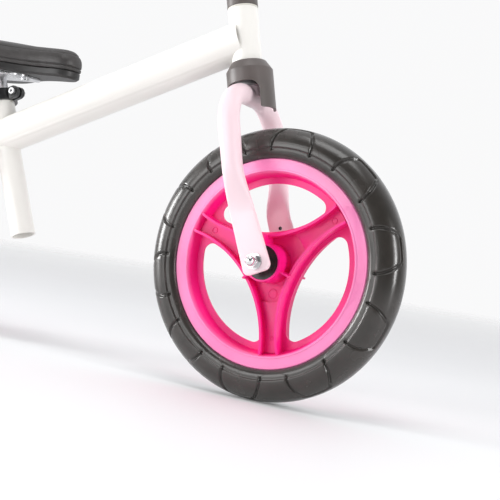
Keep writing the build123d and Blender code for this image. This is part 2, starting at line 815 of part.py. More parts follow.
def all_parts():
    parts = {}
    parts.update(wheel_parts("front", front_axle, front_spoke_angle))
    parts.update(wheel_parts("rear", rear_axle, rear_spoke_angle))
    parts["fork_tube"] = fork_tube()
    parts["steerer_tube"] = steerer_tube()
    parts["crown_race"] = crown_race()
    parts["lock_ring"] = lock_ring()
    parts["main_tube"] = main_tube()
    parts["head_tube"] = head_tube()
    parts["lower_seat_tube"] = lower_seat_tube()
    parts["upper_seat_tube"] = upper_seat_tube()
    parts["rear_fork"] = rear_fork()
    parts["lower_head_bush"] = lower_bush()
    parts["upper_head_bush"] = upper_bush()
    parts["steering_stop_sleeve"] = steering_stop_sleeve()
    parts["seat_post_bush"] = seat_post_bush()
    parts["seat_clamp_collar"] = seat * clamp_collar(upper_seat_tube_radius, seat_collar_top)
    parts["seat_clamp_bolt"] = seat * clamp_bolt(upper_seat_tube_radius, seat_collar_top)
    parts["seat_clamp_nut"] = seat * clamp_nut(upper_seat_tube_radius, seat_collar_top)
    parts["handlebar_clamp_collar"] = to_the_rear(clamp_collar(steerer_radius, bar_collar_top))
    parts["handlebar_clamp_bolt"] = to_the_rear(clamp_bolt(steerer_radius, bar_collar_top))
    parts["handlebar_clamp_nut"] = to_the_rear(clamp_nut(steerer_radius, bar_collar_top))
    parts["handlebar"] = handlebar()
    parts["handlebar_post"] = handlebar_post()
    parts["left_grip"] = grip(1)
    parts["right_grip"] = grip(-1)
    parts["seat_post"] = seat_post()
    parts["saddle_plate"] = saddle_plate()
    parts["saddle_base"] = saddle_base()
    parts["saddle_pad"] = saddle_pad()
    parts["saddle_screws"] = saddle_screws()
    return parts


def solids_of(shape):
    pieces = shape if isinstance(shape, list) else [shape]
    found = []
    for piece in pieces:
        found.extend(piece.solids())
    return found


os.makedirs("parts", exist_ok=True)
for node, shape in all_parts().items():
    found = solids_of(shape)
    export_step(found[0] if len(found) == 1 else Compound(found), "parts/" + node + ".step")
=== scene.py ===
import json
from math import cos, pi, radians, sin

import bmesh
import bpy
from mathutils import Matrix, Vector
from mathutils.geometry import interpolate_bezier


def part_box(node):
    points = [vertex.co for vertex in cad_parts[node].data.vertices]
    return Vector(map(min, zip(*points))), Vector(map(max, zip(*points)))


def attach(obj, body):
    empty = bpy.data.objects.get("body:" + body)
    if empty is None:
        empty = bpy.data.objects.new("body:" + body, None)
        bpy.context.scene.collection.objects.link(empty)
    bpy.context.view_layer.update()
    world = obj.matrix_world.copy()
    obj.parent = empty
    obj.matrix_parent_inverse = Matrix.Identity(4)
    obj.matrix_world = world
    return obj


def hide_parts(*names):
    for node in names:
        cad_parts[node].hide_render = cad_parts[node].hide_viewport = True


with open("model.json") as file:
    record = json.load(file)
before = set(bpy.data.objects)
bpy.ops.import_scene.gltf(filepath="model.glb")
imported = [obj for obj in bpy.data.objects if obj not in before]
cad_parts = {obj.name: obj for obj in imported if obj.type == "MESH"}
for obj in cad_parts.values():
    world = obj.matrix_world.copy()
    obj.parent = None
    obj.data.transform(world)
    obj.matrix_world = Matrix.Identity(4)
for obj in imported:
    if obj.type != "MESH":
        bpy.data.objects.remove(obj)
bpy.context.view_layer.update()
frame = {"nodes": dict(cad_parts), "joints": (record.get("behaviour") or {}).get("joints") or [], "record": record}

# A twelve-inch balance bike. New pieces are drawn in millimetres and placed in metres.

MM = 0.001
TO_METRES = Matrix.Scale(MM, 4)
TO_MILLIMETRES = Matrix.Scale(1000, 4)
UP = Vector((0, 0, 1))

# Camera
CAMERA_PLACE = Vector((0.77106, -1.01403, 0.15635))
CAMERA_AZIMUTH = radians(26.82)
CAMERA_ELEVATION = radians(-0.25)
CAMERA_ROLL = radians(9.0)
LENS = 73.84
SENSOR = 36.0

# Room light on the camera's side and behind the bike
ROOM_LIGHT = 0.14
BACKDROP_LIGHT = 1.15

# Wheels
TYRE_RADIUS = 150.0
TYRE_HALF_WIDTH = 22.4
TYRE_SHOULDER = 126.6
TYRE_SEAT_RADIUS = 114.65
TYRE_KEY_RADIUS = 105.65
TYRE_KEY_HALF_WIDTH = 10.85
TREAD_BLOCKS = 10
TREAD_SCALE_RADIUS = 140.0
TREAD_CELLS = 24
FRONT_TREAD_TURN = radians(14.0)
REAR_TREAD_TURN = radians(31.0)
GROOVE_HALF_WIDTH = 2.7
GROOVE_SECTION = ((1.0, 0.0), (0.86, 0.12), (0.72, 0.42), (0.28, 2.1), (0.1, 2.3))
BLOCK_HALF_ANGLE_AT_SHOULDER = radians(10.85)
BLOCK_HALF_ANGLE_AT_TOP = radians(6.0)
BLOCK_TOP = 8.0
GROOVE_END = 39.0
FRONT_SPOKE = radians(40.2)
REAR_SPOKE = radians(10.0)
SPOKE_FLOOR_HALF_THICKNESS = 6.5
HUB_FLOOR_HALF_THICKNESS = 3.0
HUB_FLOOR_RADIUS = 42.0
MARK_SECTION = ((0.9, -0.4), (0.75, 0.3), (0.5, 0.45), (0.25, 0.3), (0.0, -0.4))
EJECTOR_MARKS = (((86.0, 3.6),), ((80.0, 3.6),), ((32.5, 5.6), (81.0, 2.6)))

# Band round each face of a rim, in metres, and the two finishes: the paler pink on the band is a painted sheen,
# the deeper pink elsewhere is painted shade for the recessed spokes
FACE_BAND_RADIUS = (0.0985, 0.1010)
FACE_BAND_SIDE = (0.009, 0.011)
# Painted sheen: the paler pinks of the face band stand in for the gloss of the lamps on the rim's face
PAINTED_SHEEN_FACE_PINKS = ((0.93, 0.23, 0.49), (0.95, 0.26, 0.53))
FACE_BAND_ROUGHNESS = 0.22
# Painted shade: the deeper pinks off the band stand in for the shade in the recessed spokes and walls
PAINTED_SHADE_SPOKE_PINKS = ((0.86, 0.006, 0.225), (0.90, 0.010, 0.250))
SPOKE_ROUGHNESS = 0.36

# Forks, along their own axes
FRONT_CROWN = 191.0
FRONT_CREASE = 53.0
SQUASH_LENGTH = 52.0
LEAN_ABOVE_CREASE = 11.0
AXLE_AHEAD = 12.0
REAR_CROWN = 171.0
REAR_CREASE = 50.0
REAR_CROWN_X = -145.44
REAR_CROWN_Z = 241.34
LEG_ROUND = 22.0
LEG_OVAL = 0.8
LEG_BEND_OVAL = 2.6
LEG_OFFSET = 58.3
LEG_BEND = 43.0
LEG_BEND_STEPS = 14
LEG_SIDES = 32
SQUASH_STEPS = 16
BLADE_OFFSET = 46.5
BLADE_THICKNESS = 5.0
BLADE_TOP_WIDTH = 29.5
BLADE_WIDTH = 33.0
BLADE_CORNER = 7.0
BLADE_BELOW_AXLE = 12.5
DRAIN_RADIUS = 2.2
DRAIN_BELOW_CREASE = 8.0

# Saddle pad, in metres
PAD_PRESSURE = 4.0
PAD_FRAMES = 20
PAD_VOXEL = 0.0045
PAD_CAP = 0.005
PAD_SMOOTHING = 6
PAD_START_SIZE = (0.985, 0.965, 0.90)
PAD_FOOT = 0.002
PAD_SEAMS = ((0.0055, 0.0014, 0.0008), (0.0205, 0.0010, 0.0007))
SADDLE_DIP = 0.0028
DIP_MIDDLE = 0.48
DIP_HALF_LENGTH = 0.42
DIP_HALF_WIDTH = 0.011
SADDLE_TAIL_LIFT = 0.004
TAIL_SHARE = 0.30

# Handlebar and grips, in the steering frame
BAR_BEND = (-8.5, 78.0, 440.0)
BAR_END = (-34.0, 196.0, 447.0)
GRIP_LENGTH = 96.0
GRIP_BULB = 20.0
GRIP_BULB_INSET = 2.0
BULB_FACE = 10.0
FLANGE_SECTION = (
    (20.6, 0.0), (21.6, 0.6), (22.0, 1.6), (22.0, 3.4), (21.6, 4.4), (20.6, 5.0), (16.2, 5.2), (14.9, 6.4)
)
RIB_SECTION = ((13.7, 0.0), (14.4, 0.35), (14.5, 0.9), (14.5, 2.6), (14.4, 3.15), (13.7, 3.5))
RIB_PITCH = 4.6
FIRST_RIB = 9.0
LAST_RIB = -20.0


def centre_of(node):
    """Middle of a CAD piece, in metres."""
    low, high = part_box(node)
    return (low + high) / 2


FRONT_AXLE = centre_of("front_tyre")
REAR_AXLE = centre_of("rear_tyre")


# ---------------------------------------------------------------- materials


def new_material(name):
    material = bpy.data.materials.new(name)
    material.use_nodes = True
    nodes = material.node_tree.nodes
    shader = nodes["Principled BSDF"]
    place = nodes.new("ShaderNodeTexCoord")
    return material, nodes, material.node_tree.links, shader, place.outputs["Object"]


def noise(nodes, links, where, scale, detail=3.0):
    texture = nodes.new("ShaderNodeTexNoise")
    texture.inputs["Scale"].default_value = scale
    texture.inputs["Detail"].default_value = detail
    links.new(where, texture.inputs["Vector"])
    return texture.outputs["Fac"]


def ramp(nodes, links, source, first, last, start=0.35, end=0.65):
    """Colour between two shades, led by a texture."""
    blend = nodes.new("ShaderNodeValToRGB")
    blend.color_ramp.elements[0].position = start
    blend.color_ramp.elements[1].position = end
    blend.color_ramp.elements[0].color = (*first, 1)
    blend.color_ramp.elements[1].color = (*last, 1)
    links.new(source, blend.inputs["Fac"])
    return blend.outputs["Color"]


def span(nodes, links, source, low, high):
    """Value between two limits, led by a texture."""
    scale = nodes.new("ShaderNodeMapRange")
    scale.inputs["From Min"].default_value = 0.3
    scale.inputs["From Max"].default_value = 0.7
    scale.inputs["To Min"].default_value = low
    scale.inputs["To Max"].default_value = high
    links.new(source, scale.inputs["Value"])
    return scale.outputs["Result"]


def bump(nodes, links, shader, layers):
    """Stacks height textures, each with its strength and its depth in metres."""
    normal = None
    for height, strength, depth in layers:
        node = nodes.new("ShaderNodeBump")
        node.inputs["Strength"].default_value = strength
        node.inputs["Distance"].default_value = depth
        links.new(height, node.inputs["Height"])
        if normal is not None:
            links.new(normal, node.inputs["Normal"])
        normal = node.outputs["Normal"]
    links.new(normal, shader.inputs["Normal"])


def enamel(name, shade, deep, roughness, coat):
    """Powder coat: a thin gloss skin with a faint orange-peel ripple."""
    material, nodes, links, shader, where = new_material(name)
    wide = noise(nodes, links, where, 9.0)
    fine = noise(nodes, links, where, 420.0, 2.0)
    links.new(ramp(nodes, links, wide, deep, shade), shader.inputs["Base Color"])
    links.new(span(nodes, links, fine, roughness - 0.04, roughness + 0.04), shader.inputs["Roughness"])
    shader.inputs["Coat Weight"].default_value = coat
    shader.inputs["Specular IOR Level"].default_value = 0.35
    shader.inputs["Coat Roughness"].default_value = 0.12
    bump(nodes, links, shader, [(fine, 0.12, 0.0002), (noise(nodes, links, where, 1900.0), 0.05, 0.0001)])
    return material


def moulded(name, shade, deep, roughness, grain=0.1, coat=0.0, specular=0.5):
    """Injection-moulded plastic: slow colour drift, fine tool grain and uneven gloss."""
    material, nodes, links, shader, where = new_material(name)
    wide = noise(nodes, links, where, 22.0)
    fine = noise(nodes, links, where, 1100.0, 4.0)
    links.new(ramp(nodes, links, wide, deep, shade), shader.inputs["Base Color"])
    links.new(span(nodes, links, fine, roughness - 0.05, roughness + 0.05), shader.inputs["Roughness"])
    shader.inputs["Coat Weight"].default_value = coat
    shader.inputs["Coat Roughness"].default_value = 0.2
    shader.inputs["Specular IOR Level"].default_value = specular
    bump(nodes, links, shader, [(wide, 0.03, 0.0004), (fine, grain, 0.00012)])
    return material


def rim_with_painted_sheen(name):
    """Rim plastic: a deep, softly shining moulding with a paler band painted round each face as sheen, measured
    about the front axle, and the deeper pink elsewhere painted as shade in the recesses.
    """
    material, nodes, links, shader, where = new_material(name)
    wide = noise(nodes, links, where, 22.0)
    fine = noise(nodes, links, where, 1100.0, 4.0)
    mirror = nodes.new("ShaderNodeVectorMath")
    mirror.operation = "ABSOLUTE"
    links.new(where, mirror.inputs[0])
    centred = nodes.new("ShaderNodeVectorMath")
    centred.operation = "SUBTRACT"
    centred.inputs[1].default_value = (FRONT_AXLE.x, 0, FRONT_AXLE.z)
    links.new(mirror.outputs["Vector"], centred.inputs[0])
    flat = nodes.new("ShaderNodeVectorMath")
    flat.operation = "MULTIPLY"
    flat.inputs[1].default_value = (1, 0, 1)
    links.new(centred.outputs["Vector"], flat.inputs[0])
    radius = nodes.new("ShaderNodeVectorMath")
    radius.operation = "LENGTH"
    links.new(flat.outputs["Vector"], radius.inputs[0])
    apart = nodes.new("ShaderNodeSeparateXYZ")
    links.new(mirror.outputs["Vector"], apart.inputs["Vector"])
    masks = []
    limits = ((radius.outputs["Value"], *FACE_BAND_RADIUS), (apart.outputs["Y"], *FACE_BAND_SIDE))
    for source, start, end in limits:
        step = nodes.new("ShaderNodeMapRange")
        step.inputs["From Min"].default_value = start
        step.inputs["From Max"].default_value = end
        links.new(source, step.inputs["Value"])
        masks.append(step.outputs["Result"])
    band = nodes.new("ShaderNodeMath")
    band.operation = "MULTIPLY"
    for index, mask in enumerate(masks):
        links.new(mask, band.inputs[index])
    # Painted sheen and shade: paler pink on the face band, deeper pink everywhere else
    tint = nodes.new("ShaderNodeMix")
    tint.data_type = "RGBA"
    factor, inside, outside = tint.inputs[0], tint.inputs[6], tint.inputs[7]
    links.new(band.outputs["Value"], factor)
    links.new(ramp(nodes, links, wide, *PAINTED_SHADE_SPOKE_PINKS), inside)
    links.new(ramp(nodes, links, wide, *PAINTED_SHEEN_FACE_PINKS), outside)
    links.new(tint.outputs[2], shader.inputs["Base Color"])
    gloss = nodes.new("ShaderNodeMapRange")
    gloss.inputs["To Min"].default_value = SPOKE_ROUGHNESS
    gloss.inputs["To Max"].default_value = FACE_BAND_ROUGHNESS
    links.new(band.outputs["Value"], gloss.inputs["Value"])
    links.new(gloss.outputs["Result"], shader.inputs["Roughness"])
    shader.inputs["Specular IOR Level"].default_value = 0.5
    bump(nodes, links, shader, [(wide, 0.03, 0.0004), (fine, 0.08, 0.00012)])
    return material


def foam_rubber(name):
    """Closed-cell foam skin: dark, softly shining, with tiny pores and mould swirls."""
    material, nodes, links, shader, where = new_material(name)
    wide = noise(nodes, links, where, 30.0)
    pores = nodes.new("ShaderNodeTexVoronoi")
    pores.inputs["Scale"].default_value = 900.0
    links.new(where, pores.inputs["Vector"])
    fine = noise(nodes, links, where, 650.0, 5.0)
    dark, light = (0.021, 0.018, 0.015), (0.034, 0.029, 0.025)
    links.new(ramp(nodes, links, wide, dark, light), shader.inputs["Base Color"])
    links.new(span(nodes, links, wide, 0.22, 0.29), shader.inputs["Roughness"])
    shader.inputs["Sheen Weight"].default_value = 0.12
    shader.inputs["Specular IOR Level"].default_value = 0.62
    shader.inputs["Sheen Roughness"].default_value = 0.5
    bump(nodes, links, shader, [(fine, 0.12, 0.00025), (pores.outputs["Distance"], 0.08, 0.00015)])
    return material


def plated(name, shade, roughness, brushed=0.0):
    """Plated metal with fine wiping marks."""
    material, nodes, links, shader, where = new_material(name)
    fine = noise(nodes, links, where, 700.0, 6.0)
    wide = noise(nodes, links, where, 60.0)
    dull = tuple(0.86 * part for part in shade)
    links.new(ramp(nodes, links, wide, dull, shade), shader.inputs["Base Color"])
    shader.inputs["Metallic"].default_value = 1.0
    links.new(span(nodes, links, wide, roughness * 0.7, roughness * 1.3), shader.inputs["Roughness"])
    bump(nodes, links, shader, [(fine, 0.04 + brushed, 0.00008)])
    return material


def soft_grain(name, shade, deep, cell, depth, roughness):
    """Rubber or vinyl with a leather-like grain of rounded cells."""
    material, nodes, links, shader, where = new_material(name)
    cells = nodes.new("ShaderNodeTexVoronoi")
    cells.feature = "SMOOTH_F1"
    cells.inputs["Scale"].default_value = cell
    links.new(where, cells.inputs["Vector"])
    wide = noise(nodes, links, where, 40.0)
    links.new(ramp(nodes, links, wide, deep, shade), shader.inputs["Base Color"])
    links.new(span(nodes, links, wide, roughness - 0.05, roughness + 0.07), shader.inputs["Roughness"])
    fine = noise(nodes, links, where, 1500.0)
    bump(nodes, links, shader, [(cells.outputs["Distance"], 0.35, depth), (fine, 0.1, 0.0001)])
    return material


MATERIALS = {
    "frame_enamel": enamel("frame_enamel", (0.86, 0.84, 0.80), (0.84, 0.82, 0.78), 0.38, 0.15),
    "fork_enamel": enamel("fork_enamel", (0.885, 0.705, 0.745), (0.875, 0.68, 0.73), 0.42, 0.08),
    "rim_plastic": rim_with_painted_sheen("rim_plastic"),
    "tyre_foam": foam_rubber("tyre_foam"),
    "bearing_plastic": moulded(
        "bearing_plastic", (0.012, 0.012, 0.012), (0.006, 0.006, 0.006), 0.22, 0.05, 0.5
    ),
    "sleeve_plastic": moulded("sleeve_plastic", (0.120, 0.100, 0.095), (0.090, 0.078, 0.073), 0.42, 0.15),
    "bush_nylon": moulded("bush_nylon", (0.70, 0.68, 0.62), (0.64, 0.62, 0.56), 0.45, 0.1),
    "zinc_steel": plated("zinc_steel", (0.66, 0.66, 0.67), 0.32, 0.06),
    "chrome": plated("chrome", (0.86, 0.86, 0.87), 0.19),
    "collar_steel": enamel("collar_steel", (0.022, 0.022, 0.024), (0.014, 0.014, 0.015), 0.34, 0.3),
    "grip_rubber": soft_grain(
        "grip_rubber", (0.045, 0.041, 0.040), (0.030, 0.028, 0.027), 900.0, 0.0002, 0.62
    ),
    "saddle_tray": moulded("saddle_tray", (0.022, 0.021, 0.021), (0.014, 0.013, 0.013), 0.48, 0.25),
    "saddle_cover": soft_grain(
        "saddle_cover", (0.052, 0.048, 0.047), (0.036, 0.033, 0.032), 520.0, 0.0004, 0.5
    ),
}


# ---------------------------------------------------------------- making pieces


def link_mesh(name, bm, smooth_angle):
    mesh = bpy.data.meshes.new(name)
    bm.to_mesh(mesh)
    bm.free()
    mesh.shade_smooth()
    mesh.set_sharp_from_angle(angle=radians(smooth_angle))
    piece = bpy.data.objects.new(name, mesh)
    bpy.context.scene.collection.objects.link(piece)
    return piece


def add_piece(name, bm, body, slot, place=Matrix.Identity(4), smooth_angle=38):
    """Finished piece from a mesh drawn in millimetres about the place it goes to."""
    bmesh.ops.transform(bm, matrix=place @ TO_METRES, verts=bm.verts)
    piece = link_mesh(name, bm, smooth_angle)
    piece.data.materials.append(MATERIALS[slot])
    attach(piece, body)
    return piece


def body_of_node(node):
    for body, members in frame["record"]["behaviour"]["bodies"].items():
        if node in members:
            return body
    return None


def slot_of_node(node):
    for part in frame["record"]["subparts"]:
        if part["node"] == node:
            return part["material_slot"]
    return None


def merged_copy(node):
    """CAD shape with its loose triangles joined and its flat faces made whole."""
    bm = bmesh.new()
    bm.from_mesh(frame["nodes"][node].data)
    bmesh.ops.remove_doubles(bm, verts=bm.verts, dist=2e-6)
    bmesh.ops.dissolve_limit(bm, angle_limit=radians(0.4), verts=bm.verts, edges=bm.edges)
    return bm


def spin_closed(bm, geom, steps):
    """Turns an outline once about Z."""
    bmesh.ops.spin(
        bm, geom=geom, cent=(0, 0, 0), axis=(0, 0, 1), angle=2 * pi, steps=steps, use_merge=True
    )


def without_thin_faces(bm, dist):
    """Splits faces of many sides and removes triangles with no area."""
    crowded = [face for face in bm.faces if len(face.verts) > 4]
    bmesh.ops.triangulate(bm, faces=crowded, quad_method="BEAUTY", ngon_method="BEAUTY")
    bmesh.ops.dissolve_degenerate(bm, dist=dist, edges=bm.edges)


def rounded_copy(node, width, segments=2, smooth_angle=34, edge_angle=32):
    """CAD shape with its edges eased by a small bevel."""
    piece = link_mesh(node + "_shell", merged_copy(node), smooth_angle)
    piece.data.materials.append(MATERIALS[slot_of_node(node)])
    ease = piece.modifiers.new("eased_edges", "BEVEL")
    ease.width = width * MM
    ease.segments = segments
    ease.limit_method = "ANGLE"
    ease.angle_limit = radians(edge_angle)
    ease.harden_normals = True
    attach(piece, body_of_node(node))
    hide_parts(node)
    return piece


# ---------------------------------------------------------------- tyres


def curve(start, start_handle, end_handle, end, count):
    points = [Vector((*p, 0)) for p in (start, start_handle, end_handle, end)]
    return [p.xy for p in interpolate_bezier(*points, count)]


def tyre_profile():
    """Half section from the crown to the rim, as (radius, sideways) points."""
    crown, shoulder = (TYRE_RADIUS, 0), (TYRE_SHOULDER, TYRE_HALF_WIDTH)
    edge, foot = (125.3, 21.3), (TYRE_SEAT_RADIUS, 16.3)
    tread = curve(crown, (150.0, 12.5), (141.0, 22.6), shoulder, 17)
    shoulder_edge = curve(shoulder, (126.0, 22.4), (125.5, 22.0), edge, 4)
    wall = curve(edge, (123.6, 20.6), (118.0, 22.2), foot, 9)
    return tread + shoulder_edge[1:] + wall[1:]


def lengths_along(points):
    """Distance from the first point to each point of a line."""
    lengths = [0.0]
    for a, b in zip(points, points[1:]):
        lengths.append(lengths[-1] + (b - a).length)
    return lengths


def outward(points, index):
    """Direction away from the foam at one point of the section."""
    a = points[max(index - 1, 0)]
    b = points[min(index + 1, len(points) - 1)]
    along = (b - a).normalized() if index else Vector((0, 1))
    return Vector((along.y, -along.x))


def on_profile(profile, lengths, along, rise):
    """Point of the section at a distance from the crown, raised off the surface."""
    last = len(profile) - 2
    index = min(next((i for i in range(last + 1) if lengths[i + 1] >= along), last), last)
    share = (along - lengths[index]) / (lengths[index + 1] - lengths[index])
    place = profile[index].lerp(profile[index + 1], share)
    normal = outward(profile, index).lerp(outward(profile, index + 1), share).normalized()
    return place + normal * rise


def groove_line():
    """Middle of the groove round one tread block, in the flat: along the tread, away from the crown."""
    foot = TREAD_SCALE_RADIUS * BLOCK_HALF_ANGLE_AT_SHOULDER
    top = TREAD_SCALE_RADIUS * BLOCK_HALF_ANGLE_AT_TOP
    corner = 5.0
    elbow = (top + 1.6, BLOCK_TOP + corner)
    leg = curve((foot, GROOVE_END), (foot - 0.4, 29.0), (top + 6.0, 20.0), elbow, 15)
    bend = curve(elbow, (top + 0.4, BLOCK_TOP + 1.4), (top - 1.6, BLOCK_TOP), (top - corner, BLOCK_TOP), 7)
    half = leg + bend[1:]
    mirrored = [Vector((-p.x, p.y)) for p in reversed(half)]
    return half + [Vector((0, BLOCK_TOP))] + mirrored


def rounded_ends(line):
    """Adds the groove's round ends: each station is a point with its share of width and depth."""
    stations = [(p, 1.0) for p in line]
    for at_start in (True, False):
        tip, inner = (line[0], line[1]) if at_start else (line[-1], line[-2])
        away = (tip - inner).normalized()
        for turn in (35, 62, 84):
            step = tip + away * GROOVE_HALF_WIDTH * sin(radians(turn))
            station = (step, cos(radians(turn)))
            if at_start:
                stations.insert(0, station)
            else:
                stations.append(station)
    return stations


def groove_strip(bm, stations):
    """Groove as a strip of faces, sunk below the flat."""
    left = [(-across, -depth) for across, depth in GROOVE_SECTION]
    section = left + [(across, -depth) for across, depth in reversed(GROOVE_SECTION)]
    columns, rows = len(stations) - 1, len(section) - 1
    bmesh.ops.create_grid(bm, x_segments=columns, y_segments=rows, size=0.5)
    for vert in bm.verts:
        i = round((vert.co.x + 0.5) * columns)
        j = round((vert.co.y + 0.5) * rows)
        place, share = stations[i]
        ahead = stations[min(i + 1, columns)][0] - stations[max(i - 1, 0)][0]
        side = Vector((-ahead.y, ahead.x)).normalized()
        across, depth = section[j]
        flat = place + side * across * GROOVE_HALF_WIDTH * share
        vert.co = (flat.x, flat.y, depth * share)


def flat_pitch(profile_length, cuts):
    """One tread pitch in the flat, with the groove cut in and split into small cells."""
    bm = bmesh.new()
    groove_strip(bm, rounded_ends(groove_line()))
    border = [edge for edge in bm.edges if edge.is_boundary]
    half = TREAD_SCALE_RADIUS * pi / TREAD_BLOCKS
    corners = [(-half, 0, 0), (half, 0, 0), (half, profile_length, 0), (-half, profile_length, 0)]
    verts = [bm.verts.new(corner) for corner in corners]
    border += [bm.edges.new(pair) for pair in zip(verts, verts[1:] + verts[:1])]
    bmesh.ops.triangle_fill(bm, use_beauty=True, use_dissolve=False, edges=border, normal=UP)
    width = 2 * half / TREAD_CELLS
    planes = [((-half + width * i, 0, 0), (1, 0, 0)) for i in range(1, TREAD_CELLS)]
    planes += [((0, cut, 0), (0, 1, 0)) for cut in cuts]
    for place, normal in planes:
        geom = bm.verts[:] + bm.edges[:] + bm.faces[:]
        bmesh.ops.bisect_plane(bm, geom=geom, dist=1e-4, plane_co=place, plane_no=normal)
    spare = [edge for edge in bm.edges if is_spare(edge)]
    bmesh.ops.dissolve_edges(bm, edges=spare, use_verts=False)
    without_thin_faces(bm, 0.02)
    return bm


def is_spare(edge):
    """True for a slanting edge inside the flat faces, which the cells don't need."""
    if len(edge.link_faces) != 2:
        return False
    if any(abs(vert.co.z) > 1e-6 for face in edge.link_faces for vert in face.verts):
        return False
    a, b = (vert.co for vert in edge.verts)
    return abs(a.x - b.x) > 1e-3 and abs(a.y - b.y) > 1e-3


def bend_to_tyre(bm, profile, lengths, turn):
    """Wraps the flat pitch round the wheel, on its +Y side."""
    for vert in bm.verts:
        angle = vert.co.x / TREAD_SCALE_RADIUS + turn
        radius, sideways = on_profile(profile, lengths, vert.co.y, vert.co.z)
        vert.co = (radius * cos(angle), sideways, radius * sin(angle))


def close_inside(bm):
    """Adds the faces that sit in the rim's channel."""
    for side in (1, -1):
        loop = [e for e in bm.edges if e.is_boundary and e.verts[0].co.y * side > 0]
        for radius in (TYRE_SEAT_RADIUS, TYRE_KEY_RADIUS):
            made = bmesh.ops.extrude_edge_only(bm, edges=loop)["geom"]
            for vert in (v for v in made if isinstance(v, bmesh.types.BMVert)):
                flat = Vector((vert.co.x, 0, vert.co.z)).normalized() * radius
                vert.co = (flat.x, TYRE_KEY_HALF_WIDTH * side, flat.z)
            loop = [e for e in made if isinstance(e, bmesh.types.BMEdge) and e.is_boundary]
    open_edges = [e for e in bm.edges if e.is_boundary]
    bmesh.ops.bridge_loops(bm, edges=open_edges)


def tyre(name, body, axle, turn):
    profile = tyre_profile()
    lengths = lengths_along(profile)
    bm = flat_pitch(lengths[-1], lengths[1:-1])
    bend_to_tyre(bm, profile, lengths, turn)
    geom = bm.verts[:] + bm.edges[:] + bm.faces[:]
    rest = 2 * pi * (TREAD_BLOCKS - 1) / TREAD_BLOCKS
    bmesh.ops.spin(
        bm,
        geom=geom,
        cent=(0, 0, 0),
        axis=(0, 1, 0),
        angle=rest,
        steps=TREAD_BLOCKS - 1,
        use_duplicate=True,
    )
    bmesh.ops.remove_doubles(bm, verts=bm.verts, dist=0.01)
    geom = bm.verts[:] + bm.edges[:] + bm.faces[:]
    bmesh.ops.mirror(bm, geom=geom, matrix=Matrix.Identity(4), merge_dist=0.01, axis="Y")
    close_inside(bm)
    bmesh.ops.recalc_face_normals(bm, faces=bm.faces)
    piece = add_piece(name, bm, body, "tyre_foam", Matrix.Translation(axle), 60)
    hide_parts(body.replace("_wheel", "_tyre"))
    return piece


tyre("front_tyre_tread", "front_wheel", FRONT_AXLE, FRONT_TREAD_TURN)
tyre("rear_tyre_tread", "rear_wheel", REAR_AXLE, REAR_TREAD_TURN)


# ---------------------------------------------------------------- forks


def steering_frame():
    """Place of the steering axis: local X ahead, Y left, Z up the axis, foot level with the axle."""
    joint = next(j for j in frame["joints"] if j["name"] == "steering")
    up = Vector(joint["axis"]).normalized()
    side = Vector((0, 1, 0))
    ahead = side.cross(up)
    turn = Matrix((ahead, side, up)).transposed().to_4x4()
    foot = Vector(joint["pos_m"])
    return Matrix.Translation(foot) @ turn


def rear_stay_frame():
    """Place of the rear fork: local Z runs from the rear axle to its crown."""
    crown = Vector((REAR_CROWN_X, 0, REAR_CROWN_Z)) * MM
    up = (crown - REAR_AXLE).normalized()
    side = Vector((0, 1, 0))
    turn = Matrix((side.cross(up), side, up)).transposed().to_4x4()
    return Matrix.Translation(REAR_AXLE) @ turn


def leg_stations(crown, crease, axle_ahead):
    """Sections of one fork leg from the crown to the blade's end: place, direction, width and thickness."""
    stations = [((0, 0, crown), (0, 1, 0), LEG_ROUND, LEG_ROUND)]
    straight = LEG_OFFSET - LEG_BEND
    for step in range(LEG_BEND_STEPS + 1):
        turn = step / LEG_BEND_STEPS * pi / 2
        place = (0, straight + LEG_BEND * sin(turn), crown - LEG_BEND + LEG_BEND * cos(turn))
        widen = LEG_BEND_OVAL * step / LEG_BEND_STEPS
        stations.append((place, (0, cos(turn), -sin(turn)), LEG_ROUND + widen, LEG_ROUND - widen / 3))
    top = crease + SQUASH_LENGTH
    lean = axle_ahead / (crease + LEAN_ABOVE_CREASE)
    for step in range(SQUASH_STEPS + 1):
        share = step / SQUASH_STEPS
        ease = share * share * (3 - 2 * share)
        width = (LEG_ROUND + LEG_OVAL) * (1 - ease) + BLADE_TOP_WIDTH * ease
        thick = (LEG_ROUND - LEG_OVAL) * (1 - ease) + BLADE_THICKNESS * ease
        height = top * (1 - share) + crease * share
        ahead = lean * LEAN_ABOVE_CREASE * max(0, (share - 0.5) * 2) ** 2
        place = (ahead, LEG_OFFSET * (1 - ease) + BLADE_OFFSET * ease, height)
        stations.append((place, (0, 0, -1), width, thick))
    start = Vector((lean * LEAN_ABOVE_CREASE, BLADE_OFFSET, crease))
    fall = Vector((axle_ahead, BLADE_OFFSET, 0)) - start
    down = fall.normalized()
    end = fall.length + BLADE_BELOW_AXLE
    for share in (0.06, 0.35, 0.65, 0.9):
        width = BLADE_TOP_WIDTH * (1 - share) + BLADE_WIDTH * share
        stations.append((start + down * (end - BLADE_CORNER) * share, down, width, BLADE_THICKNESS))
    for turn in (0, 20, 40, 58, 74, 86):
        along = end - BLADE_CORNER + BLADE_CORNER * sin(radians(turn))
        width = BLADE_WIDTH - 2 * BLADE_CORNER * (1 - cos(radians(turn)))
        stations.append((start + down * along, down, width, BLADE_THICKNESS))
    return stations


